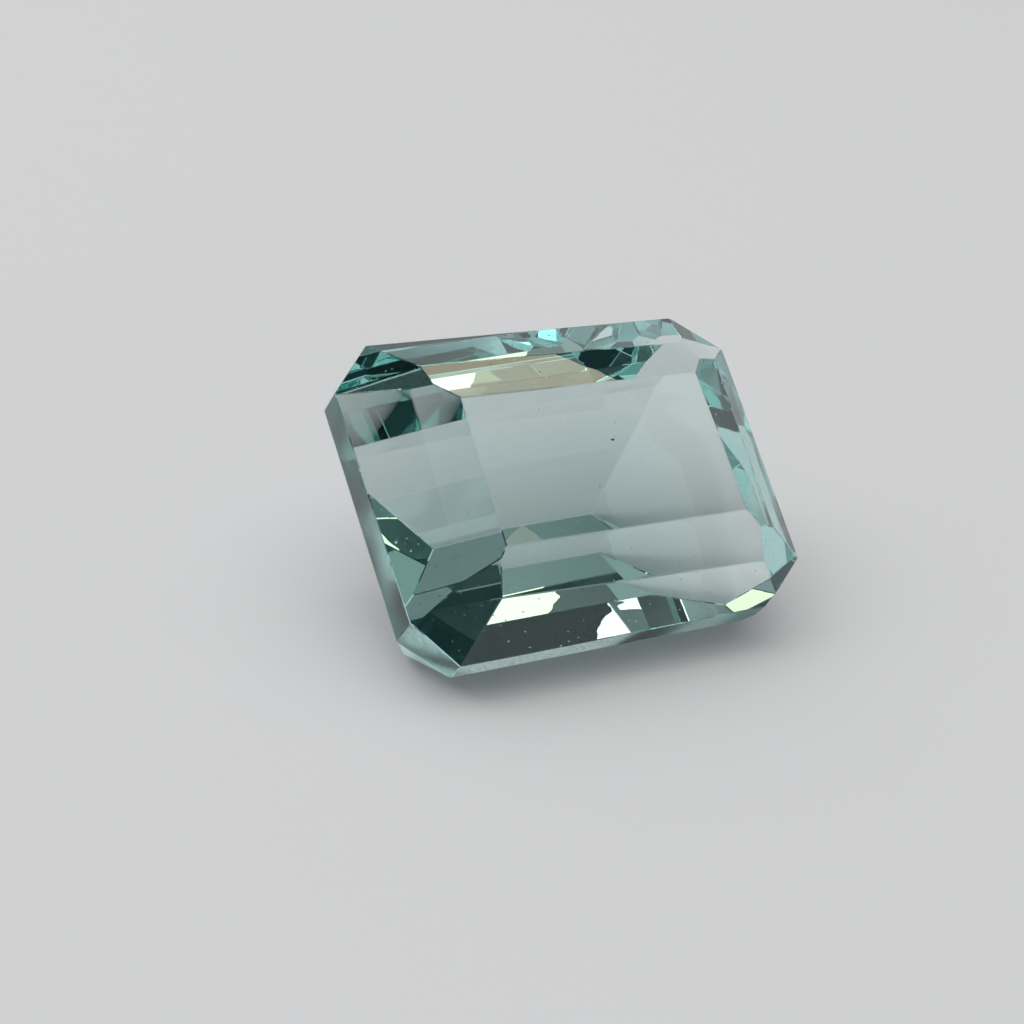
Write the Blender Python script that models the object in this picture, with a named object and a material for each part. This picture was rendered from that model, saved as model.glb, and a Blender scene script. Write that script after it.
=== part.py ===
"""Topaz gemstone: a cut-corner step cut (emerald cut) lying on one of its pavilion facets.

The stone is cut here as a lapidary cuts it. A block of rough is ground flat once for every facet,
and each facet is given by the way it faces, its slope from the girdle plane and one place that it
passes through. The cutting frame has its origin in the middle of the table, the stone's length
along X and the table facing +Z. Lengths are in millimetres until the finished stone is laid down.

The finished stone rests as a loose stone does, tipped over onto a large pavilion facet, with its
length along X and the table leaning towards -Y.
"""

import math
from dataclasses import dataclass

import bmesh
import bpy
from mathutils import Matrix, Vector

MM = 0.001

# The block of rough, larger than the stone on every side
ROUGH_LENGTH = 26.0
ROUGH_WIDTH = 21.0
ROUGH_DEPTH = 14.0

# A cut closer than this to a corner of the stone uses that corner
CUT_TOLERANCE = 1e-5

STONE_COLOUR = (0.60, 0.74, 0.72, 1.0)
STONE_IOR = 1.62
STONE_ROUGHNESS = 0.02


@dataclass(frozen=True)
class Facet:
    """One flat face: azimuth and slope in degrees, and a place it passes through in mm.

    The slope is measured from the girdle plane, the reach from the middle of the stone in the
    direction of the azimuth, and the depth downwards from the table.
    """

    azimuth: float
    slope: float
    reach: float
    depth: float
    below_girdle: bool = False

    def normal(self) -> Vector:
        """Return the outward direction of the facet."""
        azimuth = math.radians(self.azimuth)
        slope = math.radians(self.slope)
        rise = -math.cos(slope) if self.below_girdle else math.cos(slope)
        return Vector(
            (math.sin(slope) * math.cos(azimuth), math.sin(slope) * math.sin(azimuth), rise)
        )

    def place(self) -> Vector:
        """Return the place that the facet passes through."""
        azimuth = math.radians(self.azimuth)
        return Vector(
            (self.reach * math.cos(azimuth), self.reach * math.sin(azimuth), -self.depth)
        )


@dataclass(frozen=True)
class Side:
    """A long or a short side: two crown steps, the girdle wall and one or two pavilion steps."""

    table_edge: float
    upper_crown: tuple[float, float]
    crown_step: float
    lower_crown: tuple[float, float]
    girdle: tuple[float, float]
    girdle_foot: float
    outer_pavilion: tuple[float, float]
    pavilion_step: float | None = None
    inner_pavilion: tuple[float, float] | None = None

    def facets(self) -> list[Facet]:
        """Return the side's facets, each (azimuth, slope) chained from the one inside it."""
        upper_azimuth, upper_slope = self.upper_crown
        step_depth = (self.crown_step - self.table_edge) * math.tan(math.radians(upper_slope))
        wall_azimuth, wall_reach = self.girdle
        outer_azimuth, outer_slope = self.outer_pavilion
        cut = [
            Facet(upper_azimuth, upper_slope, self.table_edge, 0.0),
            Facet(*self.lower_crown, self.crown_step, step_depth),
            Facet(wall_azimuth, 90.0, wall_reach, 0.0),
            Facet(outer_azimuth, outer_slope, wall_reach, self.girdle_foot, below_girdle=True),
        ]
        if self.inner_pavilion is not None:
            inward = wall_reach - self.pavilion_step
            depth = self.girdle_foot + inward * math.tan(math.radians(outer_slope))
            cut.append(Facet(*self.inner_pavilion, self.pavilion_step, depth, below_girdle=True))
        return cut


@dataclass(frozen=True)
class Corner:
    """A cut corner: one crown facet, the girdle wall and one pavilion facet."""

    crown: tuple[float, float]
    crown_reach_at_table: float
    girdle: tuple[float, float]
    girdle_foot: float
    pavilion: tuple[float, float]

    def facets(self) -> list[Facet]:
        """Return the corner's three facets."""
        wall_azimuth, wall_reach = self.girdle
        pavilion_azimuth, pavilion_slope = self.pavilion
        turn = math.radians(pavilion_azimuth - wall_azimuth)
        return [
            Facet(*self.crown, self.crown_reach_at_table, 0.0),
            Facet(wall_azimuth, 90.0, wall_reach, 0.0),
            Facet(
                pavilion_azimuth,
                pavilion_slope,
                wall_reach * math.cos(turn),
                self.girdle_foot,
                below_girdle=True,
            ),
        ]


# The cutting diagram. The stone is an old hand cut one, so no two of its steps are quite alike.
BACK = Side(
    table_edge=4.24,
    upper_crown=(89.2, 26.0),
    crown_step=6.44,
    lower_crown=(88.9, 39.0),
    girdle=(89.2, 8.64),
    girdle_foot=3.28,
    outer_pavilion=(90.9, 41.8),
    pavilion_step=5.04,
    inner_pavilion=(90.7, 35.8),
)
FRONT = Side(
    table_edge=2.89,
    upper_crown=(-90.3, 23.4),
    crown_step=5.01,
    lower_crown=(-90.8, 38.4),
    girdle=(-89.6, 6.95),
    girdle_foot=3.89,
    outer_pavilion=(-89.3, 45.1),
    pavilion_step=2.85,
    inner_pavilion=(-89.5, 35.9),
)
LEFT = Side(
    table_edge=5.90,
    upper_crown=(179.0, 30.1),
    crown_step=7.76,
    lower_crown=(178.9, 33.7),
    girdle=(180.8, 10.22),
    girdle_foot=4.58,
    outer_pavilion=(180.8, 62.0),
    pavilion_step=8.91,
    inner_pavilion=(181.8, 31.5),
)
RIGHT = Side(
    table_edge=6.23,
    upper_crown=(0.8, 29.2),
    crown_step=8.06,
    lower_crown=(-0.5, 41.5),
    girdle=(-0.6, 9.78),
    girdle_foot=3.29,
    outer_pavilion=(-1.0, 39.9),
)
BACK_LEFT = Corner(
    crown=(137.7, 34.2),
    crown_reach_at_table=7.81,
    girdle=(135.4, 11.98),
    girdle_foot=3.56,
    pavilion=(120.8, 58.0),
)
BACK_RIGHT = Corner(
    crown=(51.2, 36.7),
    crown_reach_at_table=7.72,
    girdle=(43.8, 11.48),
    girdle_foot=3.37,
    pavilion=(44.0, 50.0),
)
FRONT_RIGHT = Corner(
    crown=(-37.9, 36.4),
    crown_reach_at_table=7.24,
    girdle=(-53.0, 9.69),
    girdle_foot=3.59,
    pavilion=(-46.0, 52.0),
)
FRONT_LEFT = Corner(
    crown=(-142.0, 30.8),
    crown_reach_at_table=6.66,
    girdle=(-144.5, 11.00),
    girdle_foot=4.13,
    pavilion=(-139.7, 73.0),
)

# The stone lies on the inner step of its front pavilion
RESTING_FACET = FRONT.facets()[-1]


def clear_scene() -> None:
    """Remove every object of the scene that the script starts in."""
    for obj in list(bpy.data.objects):
        bpy.data.objects.remove(obj, do_unlink=True)


def block_of_rough() -> bmesh.types.BMesh:
    """Return the uncut block, its top face on the table's plane."""
    rough = bmesh.new()
    bmesh.ops.create_cube(rough, size=1.0)
    bmesh.ops.scale(rough, vec=(ROUGH_LENGTH, ROUGH_WIDTH, ROUGH_DEPTH), verts=rough.verts)
    bmesh.ops.translate(rough, vec=(0.0, 0.0, -ROUGH_DEPTH / 2), verts=rough.verts)
    return rough


def grind(stone: bmesh.types.BMesh, facet: Facet) -> None:
    """Cut away all that stands outside the facet's plane, and close the stone with the facet."""
    everything = [*stone.verts, *stone.edges, *stone.faces]
    cut = bmesh.ops.bisect_plane(
        stone,
        geom=everything,
        dist=CUT_TOLERANCE,
        plane_co=facet.place(),
        plane_no=facet.normal(),
        clear_outer=True,
    )
    rim = [item for item in cut["geom_cut"] if isinstance(item, bmesh.types.BMEdge)]
    bmesh.ops.edgeloop_fill(stone, edges=rim)


def lay_down(stone: bmesh.types.BMesh) -> None:
    """Turn the stone onto its resting facet, and set its underside on the origin."""
    upright = RESTING_FACET.normal().rotation_difference(Vector((0.0, 0.0, -1.0))).to_matrix()
    bmesh.ops.rotate(stone, cent=(0.0, 0.0, 0.0), matrix=upright, verts=stone.verts)
    low = Vector(min(vert.co[axis] for vert in stone.verts) for axis in range(3))
    high = Vector(max(vert.co[axis] for vert in stone.verts) for axis in range(3))
    middle_of_underside = Vector(((low.x + high.x) / 2, (low.y + high.y) / 2, low.z))
    bmesh.ops.translate(stone, vec=-middle_of_underside, verts=stone.verts)
    bmesh.ops.transform(stone, matrix=Matrix.Scale(MM, 4), verts=stone.verts)


def clear_topaz() -> bpy.types.Material:
    """Return the clear, faintly green crystal."""
    material = bpy.data.materials.new("clear_topaz")
    material.use_nodes = True
    shader = material.node_tree.nodes["Principled BSDF"]
    shader.inputs["Base Color"].default_value = STONE_COLOUR
    shader.inputs["Metallic"].default_value = 0.0
    shader.inputs["Roughness"].default_value = STONE_ROUGHNESS
    shader.inputs["IOR"].default_value = STONE_IOR
    shader.inputs["Transmission Weight"].default_value = 1.0
    return material


def cut_topaz() -> bpy.types.Object:
    """Return the whole stone as one object."""
    stone = block_of_rough()
    for part_of_diagram in (
        BACK,
        FRONT,
        LEFT,
        RIGHT,
        BACK_LEFT,
        BACK_RIGHT,
        FRONT_RIGHT,
        FRONT_LEFT,
    ):
        for facet in part_of_diagram.facets():
            grind(stone, facet)
    lay_down(stone)
    bmesh.ops.recalc_face_normals(stone, faces=stone.faces)
    mesh = bpy.data.meshes.new("topaz")
    stone.to_mesh(mesh)
    stone.free()
    mesh.materials.append(clear_topaz())
    topaz = bpy.data.objects.new("topaz", mesh)
    bpy.context.scene.collection.objects.link(topaz)
    return topaz


def main() -> None:
    """Clear the scene and cut the stone."""
    clear_scene()
    cut_topaz()


if __name__ == "__main__":
    main()
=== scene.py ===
"""Topaz gemstone, dressed and lit: a clear step cut stone lying on a pale surface.

Every length below is in millimetres and every angle in degrees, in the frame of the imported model:
+X along the stone, +Z up from the surface it lies on, and its table leaning towards -Y.
"""

import logging
import math
from dataclasses import dataclass, field
from enum import Enum
from typing import Any

import bmesh
import bpy
from mathutils import Matrix, Vector

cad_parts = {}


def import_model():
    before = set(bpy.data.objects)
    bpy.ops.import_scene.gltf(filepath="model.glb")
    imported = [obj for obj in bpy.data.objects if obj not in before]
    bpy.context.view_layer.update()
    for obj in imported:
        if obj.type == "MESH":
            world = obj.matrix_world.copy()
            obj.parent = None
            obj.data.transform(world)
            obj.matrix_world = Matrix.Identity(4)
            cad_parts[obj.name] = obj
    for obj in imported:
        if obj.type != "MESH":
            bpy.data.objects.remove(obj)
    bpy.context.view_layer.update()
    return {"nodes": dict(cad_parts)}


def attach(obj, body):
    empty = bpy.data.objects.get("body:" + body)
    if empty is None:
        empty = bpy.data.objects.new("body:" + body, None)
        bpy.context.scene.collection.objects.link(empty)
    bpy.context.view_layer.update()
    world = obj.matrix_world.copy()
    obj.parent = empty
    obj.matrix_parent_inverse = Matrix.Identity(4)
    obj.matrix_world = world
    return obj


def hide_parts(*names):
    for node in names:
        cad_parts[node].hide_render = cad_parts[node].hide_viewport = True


log = logging.getLogger("topaz")

MM = 0.001
FRAME_PIXELS = 1024
SENSOR_WIDTH = 36.0
# Light turns at the facets many times before it leaves the stone
LIGHT_BOUNCES = 24
# A ball of this radius is 1 across, so scaling it by a size gives that size
UNIT_BALL_RADIUS = 0.5


def srgb(colour: str, alpha: float = 1.0) -> tuple[float, float, float, float]:
    """Turn a screen colour into Blender's linear one.

    Args:
        colour: An sRGB hex value such as "8fb3a9".
        alpha: The fourth value of the result.

    Returns:
        Linear red, green, blue and the alpha.
    """
    channels = [int(colour[start : start + 2], 16) / 255 for start in (0, 2, 4)]
    red, green, blue = (
        value / 12.92 if value <= 0.04045 else ((value + 0.055) / 1.055) ** 2.4
        for value in channels
    )
    return (red, green, blue, alpha)


def add_node(
    tree: bpy.types.NodeTree,
    kind: str,
    settings: dict[str, Any] | None = None,
    inputs: dict[str, Any] | None = None,
) -> bpy.types.Node:
    """Add one shader node with its settings, values and links.

    Args:
        tree: The node tree it goes into.
        kind: Blender's name for the node type.
        settings: Attributes of the node.
        inputs: Input name to a value, or to the output socket that feeds it.

    Returns:
        The new node.
    """
    node = tree.nodes.new(kind)
    for name, value in (settings or {}).items():
        setattr(node, name, value)
    for name, value in (inputs or {}).items():
        if isinstance(value, bpy.types.NodeSocket):
            tree.links.new(value, node.inputs[name])
        else:
            node.inputs[name].default_value = value
    return node


def new_material(name: str) -> tuple[bpy.types.Material, bpy.types.Node]:
    """Make a material that starts as one plain shader.

    Args:
        name: What the material is called.

    Returns:
        The material and its shader.
    """
    material = bpy.data.materials.new(name)
    material.use_nodes = True
    return material, material.node_tree.nodes["Principled BSDF"]


def add_object(name: str, shape: bmesh.types.BMesh) -> bpy.types.Object:
    """Put a finished shape in the scene.

    Args:
        name: What the object and its mesh are called.
        shape: The shape, which is freed.

    Returns:
        The new object.
    """
    mesh = bpy.data.meshes.new(name)
    shape.to_mesh(mesh)
    shape.free()
    added = bpy.data.objects.new(name, mesh)
    bpy.context.scene.collection.objects.link(added)
    return added


class Finish(Enum):
    """Which material of the stone a face has, by its place in the list."""

    POLISHED = 0
    GROUND = 1


@dataclass(frozen=True)
class TopazCrystal:
    """What the crystal does to light, shared by its polished and its ground faces."""

    ior: float = 1.62
    tint: str = "c6f4f1"
    absorption_per_metre: float = 55.0

    def fill(self, material: bpy.types.Material) -> None:
        """Give a material the crystal's tint, which deepens with the light's way through it.

        Args:
            material: The finish of some faces of the crystal.
        """
        tree = material.node_tree
        body = add_node(
            tree,
            "ShaderNodeVolumeAbsorption",
            inputs={"Color": srgb(self.tint), "Density": self.absorption_per_metre},
        )
        output = next(node for node in tree.nodes if node.type == "OUTPUT_MATERIAL")
        tree.links.new(body.outputs["Volume"], output.inputs["Volume"])


@dataclass(frozen=True)
class PolishedFace:
    """Topaz polished on a lap: mirror smooth, but for slight waves and a few pinprick pits.

    To the eye it is a sharp window or a sharp mirror, with edges of light that bend a little. The
    waves are drawn out along the stone, where their scale is less than 1. A real pit is often
    smaller, and is drawn wide enough to show.
    """

    crystal: TopazCrystal = field(default_factory=TopazCrystal)
    surface_colour: str = "ffffff"
    wave_length: float = 2.4
    wave_depth: float = 0.0035
    wave_detail: float = 1.0
    wave_scale: tuple[float, float, float] = (0.3, 1.0, 1.0)
    pit_spacing: float = 0.9
    pit_radius: float = 0.072
    pit_roughness: float = 0.7

    def material(self) -> bpy.types.Material:
        """Make the finish of the facets.

        Returns:
            The new material.
        """
        material, shader = new_material("polished_topaz")
        tree = material.node_tree
        shader.inputs["Base Color"].default_value = srgb(self.surface_colour)
        tree.links.new(self.pits(tree), shader.inputs["Roughness"])
        shader.inputs["IOR"].default_value = self.crystal.ior
        shader.inputs["Transmission Weight"].default_value = 1.0
        tree.links.new(self.lap_waves(tree), shader.inputs["Normal"])
        self.crystal.fill(material)
        return material

    def pits(self, tree: bpy.types.NodeTree) -> bpy.types.NodeSocket:
        """Scatter a few pits, matt at their middle and polished outside their rim.

        Args:
            tree: The node tree of the material.

        Returns:
            The roughness.
        """
        place = add_node(tree, "ShaderNodeTexCoord")
        cells = add_node(
            tree,
            "ShaderNodeTexVoronoi",
            inputs={
                "Vector": place.outputs["Object"],
                "Scale": 1.0 / (self.pit_spacing * MM),
            },
        )
        pit = add_node(tree, "ShaderNodeMapRange", inputs={"Value": cells.outputs["Distance"]})
        pit.inputs["From Max"].default_value = self.pit_radius / self.pit_spacing
        pit.inputs["To Min"].default_value = self.pit_roughness
        pit.inputs["To Max"].default_value = 0.0
        return pit.outputs["Result"]

    def lap_waves(self, tree: bpy.types.NodeTree) -> bpy.types.NodeSocket:
        """Add the shallow waves that the lap leaves.

        Args:
            tree: The node tree of the material.

        Returns:
            The bumped normal.
        """
        place = add_node(tree, "ShaderNodeTexCoord")
        drawn_out = add_node(
            tree, "ShaderNodeMapping", inputs={"Vector": place.outputs["Object"]}
        )
        drawn_out.inputs["Scale"].default_value = self.wave_scale
        waves = add_node(
            tree,
            "ShaderNodeTexNoise",
            inputs={
                "Vector": drawn_out.outputs["Vector"],
                "Scale": 1.0 / (self.wave_length * MM),
                "Detail": self.wave_detail,
            },
        )
        bump = add_node(tree, "ShaderNodeBump", inputs={"Height": waves.outputs["Fac"]})
        bump.inputs["Distance"].default_value = self.wave_depth * MM
        return bump.outputs["Normal"]


@dataclass(frozen=True)
class GroundGirdle:
    """Topaz ground but not fully polished: the wall round the stone's widest line.

    To the eye it is a pale, softly blurred band with a fine grain. Real grit is finer than this
    grain, which is drawn as coarse as it needs to show. Where the grain's noise is under the first
    of its limits the wall has its grain colour, and over the second its clear one.
    """

    crystal: TopazCrystal = field(default_factory=TopazCrystal)
    grain: float = 0.16
    grain_limits: tuple[float, float] = (0.32, 0.58)
    noise_detail: float = 3.0
    patch: float = 1.3
    grain_depth: float = 0.0004
    smoothest: float = 0.10
    roughest: float = 0.30
    grain_colour: str = "a9b8b2"
    clear_colour: str = "f6faf8"

    def material(self) -> bpy.types.Material:
        """Make the finish of the girdle.

        Returns:
            The new material.
        """
        material, shader = new_material("ground_topaz")
        tree = material.node_tree
        shader.inputs["IOR"].default_value = self.crystal.ior
        shader.inputs["Transmission Weight"].default_value = 1.0
        place = add_node(tree, "ShaderNodeTexCoord")
        patches, grains = (
            add_node(
                tree,
                "ShaderNodeTexNoise",
                inputs={
                    "Vector": place.outputs["Object"],
                    "Scale": 1.0 / (size * MM),
                    "Detail": self.noise_detail,
                },
            ).outputs["Fac"]
            for size in (self.patch, self.grain)
        )
        tone = add_node(tree, "ShaderNodeValToRGB", inputs={"Fac": grains})
        colours = (self.grain_colour, self.clear_colour)
        for stop, limit, colour in zip(tone.color_ramp.elements, self.grain_limits, colours):
            stop.position = limit
            stop.color = srgb(colour)
        tree.links.new(tone.outputs["Color"], shader.inputs["Base Color"])
        matt = add_node(tree, "ShaderNodeMapRange", inputs={"Value": patches})
        matt.inputs["To Min"].default_value = self.smoothest
        matt.inputs["To Max"].default_value = self.roughest
        tree.links.new(matt.outputs["Result"], shader.inputs["Roughness"])
        bump = add_node(tree, "ShaderNodeBump", inputs={"Height": grains})
        bump.inputs["Distance"].default_value = self.grain_depth * MM
        tree.links.new(bump.outputs["Normal"], shader.inputs["Normal"])
        self.crystal.fill(material)
        return material


@dataclass
class CutStone:
    """The stone itself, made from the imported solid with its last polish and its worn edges."""

    merge_distance: float = 0.02
    polished_merge_distance: float = 0.055
    flat_angle: float = 0.5
    edge_wear: float = 0.035
    polished_slope: float = 8.0
    polished_heading: float = 178.5
    polished_depth: float = -0.1215
    cut_tolerance: float = 1e-5
    square_enough: float = 0.01

    def build(self, node: bpy.types.Object) -> bpy.types.Object:
        """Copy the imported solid, polish it and wear its edges.

        Args:
            node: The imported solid, which is left as it is.

        Returns:
            The finished piece.
        """
        stone = bmesh.new()
        stone.from_mesh(node.data)
        self.merge_corners(stone, self.merge_distance)
        self.polish_front(stone)
        self.merge_corners(stone, self.polished_merge_distance)
        self.wear_edges(stone)
        self.flatten_facets(stone)
        self.mark_girdle(stone)
        piece = add_object("topaz_stone", stone)
        piece.data.materials.append(PolishedFace().material())
        piece.data.materials.append(GroundGirdle().material())
        return piece

    def merge_corners(self, stone: bmesh.types.BMesh, distance: float) -> None:
        """Make each facet one flat face, with no edge so short that wearing it folds the facet.

        Args:
            stone: The stone, before its edges are worn.
            distance: Corners closer than this many mm become one.
        """
        bmesh.ops.remove_doubles(stone, verts=stone.verts, dist=distance * MM)
        bmesh.ops.dissolve_limit(
            stone,
            angle_limit=math.radians(self.flat_angle),
            verts=stone.verts,
            edges=stone.edges,
        )

    def polish_front(self, stone: bmesh.types.BMesh) -> None:
        """Take the last 0.1 mm off the outer front step of the pavilion.

        Args:
            stone: The stone, with its corners merged.
        """
        slope = math.radians(self.polished_slope)
        heading = math.radians(self.polished_heading)
        normal = Vector(
            (
                math.sin(heading) * math.sin(slope),
                math.cos(heading) * math.sin(slope),
                -math.cos(slope),
            )
        )
        cut = bmesh.ops.bisect_plane(
            stone,
            geom=[*stone.verts, *stone.edges, *stone.faces],
            dist=self.cut_tolerance * MM,
            plane_co=normal * self.polished_depth * MM,
            plane_no=normal,
            clear_outer=True,
        )
        rim = [item for item in cut["geom_cut"] if isinstance(item, bmesh.types.BMEdge)]
        bmesh.ops.edgeloop_fill(stone, edges=rim)
        bmesh.ops.recalc_face_normals(stone, faces=stone.faces)

    def wear_edges(self, stone: bmesh.types.BMesh) -> None:
        """Take the sharpness off every edge, as years of handling do.

        Args:
            stone: The stone, with every edge still sharp.
        """
        bmesh.ops.bevel(
            stone,
            geom=list(stone.edges),
            offset=self.edge_wear * MM,
            affect="EDGES",
            segments=1,
            profile=0.5,
            material=-1,
        )

    def flatten_facets(self, stone: bmesh.types.BMesh) -> None:
        """Shade every face flat: a cut facet has no curve, and a curved one bends light wrongly."""
        for face in stone.faces:
            face.smooth = False

    def mark_girdle(self, stone: bmesh.types.BMesh) -> None:
        """Give the ground finish to the walls that stand square to the table, and polish the rest.

        Args:
            stone: The stone, whose table is the largest facet that faces up.
        """
        facing_up = [face for face in stone.faces if face.normal.z > 0]
        table = max(facing_up, key=bmesh.types.BMFace.calc_area)
        for face in stone.faces:
            square = abs(face.normal.dot(table.normal)) < self.square_enough
            finish = Finish.GROUND if square else Finish.POLISHED
            face.material_index = finish.value


@dataclass(frozen=True)
class Speck:
    """One tiny grain caught in the crystal; its place and size are in mm."""

    place: tuple[float, float, float]
    size: tuple[float, float, float]


@dataclass(frozen=True)
class MineralGrain:
    """Another mineral caught in the crystal: to the eye, dull dark pinpoints, paler in places."""

    mottle_size: float = 0.05
    roughness: float = 0.6
    dark_colour: str = "23292a"
    pale_colour: str = "6f7875"

    def material(self) -> bpy.types.Material:
        """Make the finish of the grains.

        Returns:
            The new material.
        """
        material, shader = new_material("dark_mineral_grain")
        tree = material.node_tree
        place = add_node(tree, "ShaderNodeTexCoord")
        mottle = add_node(
            tree,
            "ShaderNodeTexNoise",
            inputs={"Vector": place.outputs["Object"], "Scale": 1.0 / (self.mottle_size * MM)},
        )
        tone = add_node(tree, "ShaderNodeValToRGB", inputs={"Fac": mottle.outputs["Fac"]})
        tone.color_ramp.elements[0].color = srgb(self.dark_colour)
        tone.color_ramp.elements[1].color = srgb(self.pale_colour)
        tree.links.new(tone.outputs["Color"], shader.inputs["Base Color"])
        shader.inputs["Roughness"].default_value = self.roughness
        return material


@dataclass
class Specks:
    """The few grains that a close look finds just under the table and the front crown."""

    subdivisions: int = 2
    grains: tuple[Speck, ...] = (
        Speck((1.14, -0.97, 8.68), (0.20, 0.13, 0.08)),
        Speck((1.30, -0.82, 8.74), (0.05, 0.05, 0.04)),
        Speck((-0.29, -2.71, 7.42), (0.07, 0.05, 0.05)),
        Speck((-1.97, 0.58, 9.82), (0.04, 0.10, 0.03)),
        Speck((-3.44, -5.60, 4.00), (0.06, 0.06, 0.06)),
        Speck((-2.21, -5.53, 4.25), (0.07, 0.05, 0.05)),
    )

    def build(self) -> bpy.types.Object:
        """Grow every grain and join them in one piece.

        Returns:
            The finished piece.
        """
        grown = bmesh.new()
        for grain in self.grains:
            shape = Matrix.Translation(Vector(grain.place) * MM) @ Matrix.Diagonal(
                (*(Vector(grain.size) * MM), 1.0)
            )
            bmesh.ops.create_icosphere(
                grown, subdivisions=self.subdivisions, radius=UNIT_BALL_RADIUS, matrix=shape
            )
        piece = add_object("topaz_specks", grown)
        piece.data.materials.append(MineralGrain().material())
        return piece


@dataclass
class Camera:
    """A camera looking down on the stone from the front left, held a little askew."""

    stands_at: tuple[float, float, float] = (-42.716, -69.238, 50.480)
    heading: float = 29.866
    looks_down: float = 29.612
    roll: float = 7.043
    focal_pixels: float = 2022.3
    sees_from: float = 1.0
    sees_as_far_as: float = 9000.0

    def build(self) -> bpy.types.Object:
        """Create the camera and make it the scene's own.

        Returns:
            The camera.
        """
        data = bpy.data.cameras.new("camera")
        data.sensor_width = SENSOR_WIDTH
        data.lens = self.focal_pixels * SENSOR_WIDTH / FRAME_PIXELS
        data.clip_start = self.sees_from * MM
        data.clip_end = self.sees_as_far_as * MM
        camera = bpy.data.objects.new("camera", data)
        turn = (
            Matrix.Rotation(math.radians(-self.heading), 4, "Z")
            @ Matrix.Rotation(math.radians(90 - self.looks_down), 4, "X")
            @ Matrix.Rotation(math.radians(self.roll), 4, "Z")
        )
        camera.matrix_world = Matrix.Translation(Vector(self.stands_at) * MM) @ turn
        bpy.context.scene.collection.objects.link(camera)
        bpy.context.scene.camera = camera
        return camera


@dataclass(frozen=True)
class Softbox:
    """One plain soft light that faces the stone from 900 mm or so away.

    Its heading is 0 at +Y and 90 at +X, its height is the angle above the floor, its width and
    depth are in mm, and its glow is the brightness of its front, where 1 is screen white. One that
    doesn't show in the stone lights the floor alone.
    """

    name: str
    heading: float
    height: float
    width: float
    depth: float
    glow: float
    shows_in_stone: bool = True
    away: float = 900.0
    colour: str = "ffffff"

    def watts(self) -> float:
        """Return the power that gives the front its glow."""
        return self.glow * math.pi * self.width * self.depth * MM * MM


@dataclass(frozen=True)
class FoamCard:
    """White foam card, matt and even: to the eye it takes a soft shadow and gives no shine."""

    colour: str = "e4e2e4"
    roughness: float = 0.9

    def material(self) -> bpy.types.Material:
        """Make the finish of the floor.

        Returns:
            The new material.
        """
        material, shader = new_material("white_foam_card")
        shader.inputs["Base Color"].default_value = srgb(self.colour)
        shader.inputs["Roughness"].default_value = self.roughness
        return material


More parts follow.
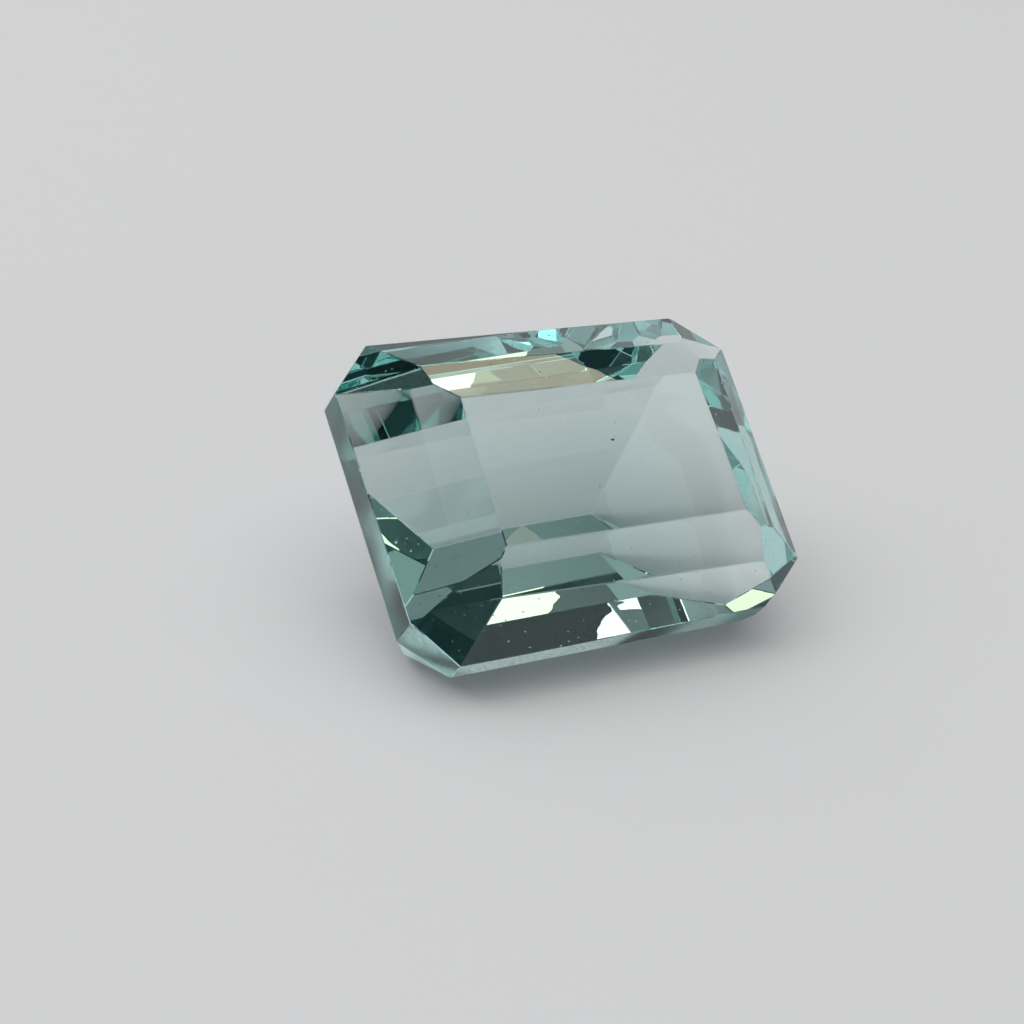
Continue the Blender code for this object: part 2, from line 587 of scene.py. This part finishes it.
@dataclass
class Studio:
    """The pale floor, the room around it and the softboxes.

    The room's walls, dark band and ceiling are split by their height in degrees.
    """

    floor_width: float = 6000.0
    floor_drop: float = 0.03
    low_wall: str = "d8dadc"
    dark_room: str = "1c2d2e"
    ceiling: str = "949e9a"
    wall_top: float = 18.0
    dark_band: tuple[float, float] = (27.0, 54.0)
    ceiling_edge: float = 66.0
    middle: tuple[float, float, float] = (0.0, 0.0, 5.5)
    softboxes: tuple[Softbox, ...] = (
        Softbox("window_softbox", -60.0, 50.0, 460.0, 340.0, 1.8),
        Softbox("strip_softbox", 138.5, 59.0, 310.0, 75.0, 1.6, colour="fff0d0"),
        Softbox("small_softbox", 39.0, 37.5, 56.0, 50.0, 1.6),
        Softbox("near_softbox", -141.0, 44.0, 60.0, 60.0, 1.4, colour="fff2cf"),
        Softbox("back_softbox", 38.5, 42.4, 170.0, 48.0, 3.0, colour="fff2cf"),
        Softbox("side_softbox", 97.0, 43.0, 200.0, 130.0, 0.2),
        Softbox("fill_softbox", -40.0, 76.0, 2000.0, 2000.0, 0.92, shows_in_stone=False),
    )

    def build_floor(self) -> bpy.types.Object:
        """Lay the plain floor, a hair under the stone so that the two faces stay apart.

        Returns:
            The floor.
        """
        sheet = bmesh.new()
        bmesh.ops.create_grid(sheet, x_segments=1, y_segments=1, size=self.floor_width / 2 * MM)
        bmesh.ops.translate(sheet, vec=(0.0, 0.0, -self.floor_drop * MM), verts=sheet.verts)
        floor = add_object("floor", sheet)
        floor.data.materials.append(FoamCard().material())
        return floor

    def build_world(self) -> None:
        """Light the room softly: pale low walls, a dark middle and a grey ceiling."""
        world = bpy.data.worlds.new("soft_room")
        world.use_nodes = True
        tree = world.node_tree
        place = add_node(tree, "ShaderNodeTexCoord")
        parts = add_node(
            tree, "ShaderNodeSeparateXYZ", inputs={"Vector": place.outputs["Generated"]}
        )
        ramp = add_node(tree, "ShaderNodeValToRGB", inputs={"Fac": parts.outputs["Z"]})
        stops = ramp.color_ramp.elements
        stops[0].position = math.sin(math.radians(self.wall_top))
        stops[0].color = srgb(self.low_wall)
        stops[1].position = math.sin(math.radians(self.ceiling_edge))
        stops[1].color = srgb(self.ceiling)
        for height in self.dark_band:
            stops.new(math.sin(math.radians(height))).color = srgb(self.dark_room)
        tree.links.new(ramp.outputs["Color"], tree.nodes["Background"].inputs["Color"])
        bpy.context.scene.world = world

    def facing_stone(self, softbox: Softbox) -> Matrix:
        """Work out where a softbox hangs and how it is turned.

        Args:
            softbox: The softbox, whose front faces the stone.

        Returns:
            Its place and its turn.
        """
        heading = math.radians(softbox.heading)
        height = math.radians(softbox.height)
        sideways = Vector((math.cos(heading), -math.sin(heading), 0.0))
        outward = Vector(
            (
                math.sin(heading) * math.cos(height),
                math.cos(heading) * math.cos(height),
                math.sin(height),
            )
        )
        upward = outward.cross(sideways)
        axes = Matrix((sideways, upward, outward)).transposed().to_4x4()
        return Matrix.Translation((Vector(self.middle) + outward * softbox.away) * MM) @ axes

    def hang_softbox(self, softbox: Softbox) -> bpy.types.Object:
        """Hang one softbox where it faces the stone.

        Args:
            softbox: The softbox.

        Returns:
            Its light.
        """
        data = bpy.data.lights.new(softbox.name, "AREA")
        data.shape = "RECTANGLE"
        data.size = softbox.width * MM
        data.size_y = softbox.depth * MM
        data.energy = softbox.watts()
        data.color = srgb(softbox.colour)[:3]
        light = bpy.data.objects.new(softbox.name, data)
        light.matrix_world = self.facing_stone(softbox)
        light.visible_glossy = softbox.shows_in_stone
        light.visible_transmission = softbox.shows_in_stone
        bpy.context.scene.collection.objects.link(light)
        return light


def set_light_paths() -> None:
    """Let light turn often enough inside the stone, and show colours as they are."""
    cycles = bpy.context.scene.cycles
    cycles.max_bounces = LIGHT_BOUNCES
    cycles.glossy_bounces = LIGHT_BOUNCES
    cycles.transmission_bounces = LIGHT_BOUNCES
    bpy.context.scene.view_settings.view_transform = "Standard"


def main() -> None:
    """Build, dress and light the stone."""
    logging.basicConfig(level=logging.INFO, format="%(name)s: %(message)s")
    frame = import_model()
    Camera().build()
    studio = Studio()
    studio.build_floor()
    studio.build_world()
    for softbox in studio.softboxes:
        studio.hang_softbox(softbox)
    stone = CutStone().build(frame["nodes"]["topaz"])
    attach(stone, "root")
    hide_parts("topaz")
    specks = Specks().build()
    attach(specks, "root")
    for piece in (stone, specks):
        log.info("%s: %d faces", piece.name, len(piece.data.polygons))
    set_light_paths()


if __name__ == "__main__":
    main()
